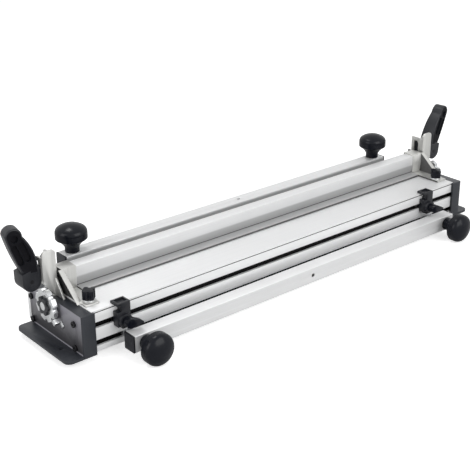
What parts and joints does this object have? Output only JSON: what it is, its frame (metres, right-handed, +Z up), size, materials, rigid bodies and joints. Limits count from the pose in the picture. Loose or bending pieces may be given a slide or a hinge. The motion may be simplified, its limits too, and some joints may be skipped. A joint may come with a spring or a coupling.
{
  "type": "joint template jig base",
  "caption": "Clamping bench for a woodworking joint template: slotted aluminium table between black end cheeks, screw clamp bars, lifting template beam with cam levers and sliding side stops.",
  "frame": {"origin": "on the floor, midway between the two foot holes", "axes": "+X along the table to the right, +Y to the back, +Z up"},
  "size_m": [0.8933, 0.2432, 0.1815],
  "materials": {
    "anodised_aluminium": "satin anodised, fine lengthwise streaks",
    "black_powder_coat": "satin black powder coat",
    "zinc_steel": "zinc plated",
    "black_steel": "black oxide",
    "spring_steel": "bright spring wire",
    "brass_bush": "turned",
    "black_plastic": "satin black moulding"
  },
  "bodies": {
    "base": {"table_extrusion": "anodised_aluminium", "left_cheek": "black_powder_coat", "right_cheek": "black_powder_coat", "cheek_screws": "black_steel", "left_upright": "zinc_steel", "right_upright": "zinc_steel", "upright_screws": "zinc_steel", "front_clamp_nuts": "zinc_steel", "front_clamp_studs": "zinc_steel", "front_clamp_springs": "spring_steel", "rear_clamp_nuts": "zinc_steel", "rear_clamp_studs": "zinc_steel", "index_axles": "zinc_steel", "index_clips": "zinc_steel"},
    "front_clamp": {"front_clamp_bar": "anodised_aluminium", "front_bar_caps": "black_plastic"},
    "rear_clamp": {"rear_clamp_bar": "anodised_aluminium", "rear_bar_caps": "black_plastic"},
    "beam": {"template_beam": "anodised_aluminium", "left_beam_bracket": "zinc_steel", "right_beam_bracket": "zinc_steel", "bracket_screws": "black_steel", "left_guide_block": "black_plastic", "right_guide_block": "black_plastic", "left_tie_bolt": "zinc_steel", "right_tie_bolt": "zinc_steel", "star_washers": "zinc_steel"},
    "front_left_knob_body": {"front_left_knob": "black_plastic", "front_left_knob_bush": "brass_bush"},
    "front_right_knob_body": {"front_right_knob": "black_plastic", "front_right_knob_bush": "brass_bush"},
    "rear_left_knob_body": {"rear_left_knob": "black_plastic", "rear_left_knob_bush": "brass_bush"},
    "rear_right_knob_body": {"rear_right_knob": "black_plastic", "rear_right_knob_bush": "brass_bush"},
    "left_lever": {"left_cam_lever": "black_plastic", "left_lever_pin": "zinc_steel"},
    "left_star": {"left_star_knob": "black_plastic", "left_star_stud": "zinc_steel"},
    "left_index_wheel": {"left_index_disc": "zinc_steel", "left_index_knob": "black_plastic"},
    "right_lever": {"right_cam_lever": "black_plastic", "right_lever_pin": "zinc_steel"},
    "right_star": {"right_star_knob": "black_plastic", "right_star_stud": "zinc_steel"},
    "right_index_wheel": {"right_index_disc": "zinc_steel", "right_index_knob": "black_plastic"},
    "left_stop": {"left_side_stop": "black_plastic", "left_stop_nut": "zinc_steel"},
    "left_stop_wing": {"left_stop_screw": "black_plastic"},
    "right_stop": {"right_side_stop": "black_plastic", "right_stop_nut": "zinc_steel"},
    "right_stop_wing": {"right_stop_screw": "black_plastic"}
  },
  "joints": [
    {"name": "front_clamp_slide", "type": "slide", "parent": "base", "child": "front_clamp", "axis": [0, 1, 0], "range_m": [-0.01, 0.012], "deforming": ["front_clamp_springs"]},
    {"name": "rear_clamp_slide", "type": "slide", "parent": "base", "child": "rear_clamp", "axis": [0, 0, -1], "range_m": [-0.02, 0.0015]},
    {"name": "front_left_knob_turn", "type": "hinge", "parent": "front_clamp", "child": "front_left_knob_body", "pos_m": [-0.313, -0.074, 0.015], "axis": [0, 1, 0], "range_deg": [-2880, 3456]},
    {"name": "front_right_knob_turn", "type": "hinge", "parent": "front_clamp", "child": "front_right_knob_body", "pos_m": [0.313, -0.074, 0.015], "axis": [0, 1, 0], "range_deg": [-2880, 3456]},
    {"name": "rear_left_knob_turn", "type": "hinge", "parent": "rear_clamp", "child": "rear_left_knob_body", "pos_m": [-0.313, 0.1025, 0.088], "axis": [0, 0, -1], "range_deg": [-5760, 432]},
    {"name": "rear_right_knob_turn", "type": "hinge", "parent": "rear_clamp", "child": "rear_right_knob_body", "pos_m": [0.313, 0.1025, 0.088], "axis": [0, 0, -1], "range_deg": [-5760, 432]},
    {"name": "beam_lift", "type": "slide", "parent": "base", "child": "beam", "axis": [0, 0, 1], "range_m": [0, 0.02]},
    {"name": "left_lever_turn", "type": "hinge", "parent": "beam", "child": "left_lever", "pos_m": [-0.4118, 0.0556, 0.0914], "axis": [0, -1, 0], "range_deg": [0, 90]},
    {"name": "left_star_turn", "type": "hinge", "parent": "beam", "child": "left_star", "pos_m": [-0.3577, -0.009, 0.07], "axis": [0, 0, 1], "continuous": true},
    {"name": "left_index_turn", "type": "hinge", "parent": "base", "child": "left_index_wheel", "pos_m": [-0.396, 0.036, 0.0555], "axis": [-1, 0, 0], "continuous": true},
    {"name": "right_lever_turn", "type": "hinge", "parent": "beam", "child": "right_lever", "pos_m": [0.4118, 0.0556, 0.0914], "axis": [0, 1, 0], "range_deg": [-7, 83]},
    {"name": "right_star_turn", "type": "hinge", "parent": "beam", "child": "right_star", "pos_m": [0.3577, -0.009, 0.07], "axis": [0, 0, 1], "continuous": true},
    {"name": "right_index_turn", "type": "hinge", "parent": "base", "child": "right_index_wheel", "pos_m": [0.396, 0.036, 0.0555], "axis": [1, 0, 0], "continuous": true},
    {"name": "left_stop_slide", "type": "slide", "parent": "base", "child": "left_stop", "axis": [1, 0, 0], "range_m": [-0.028, 0.28]},
    {"name": "left_stop_wing_turn", "type": "hinge", "parent": "left_stop", "child": "left_stop_wing", "pos_m": [-0.3275, -0.0503, 0.042], "axis": [0, -1, 0], "range_deg": [0, 120]},
    {"name": "right_stop_slide", "type": "slide", "parent": "base", "child": "right_stop", "axis": [1, 0, 0], "range_m": [-0.25, 0.06]},
    {"name": "right_stop_wing_turn", "type": "hinge", "parent": "right_stop", "child": "right_stop_wing", "pos_m": [0.296, -0.0503, 0.042], "axis": [0, -1, 0], "range_deg": [0, 120]}
  ],
  "couplings": [
    {"joint": "front_left_knob_turn", "follows": "front_clamp_slide", "rad_per_m": 5026.5},
    {"joint": "front_right_knob_turn", "follows": "front_clamp_slide", "rad_per_m": 5026.5},
    {"joint": "rear_left_knob_turn", "follows": "rear_clamp_slide", "rad_per_m": 5026.5},
    {"joint": "rear_right_knob_turn", "follows": "rear_clamp_slide", "rad_per_m": 5026.5}
  ]
}
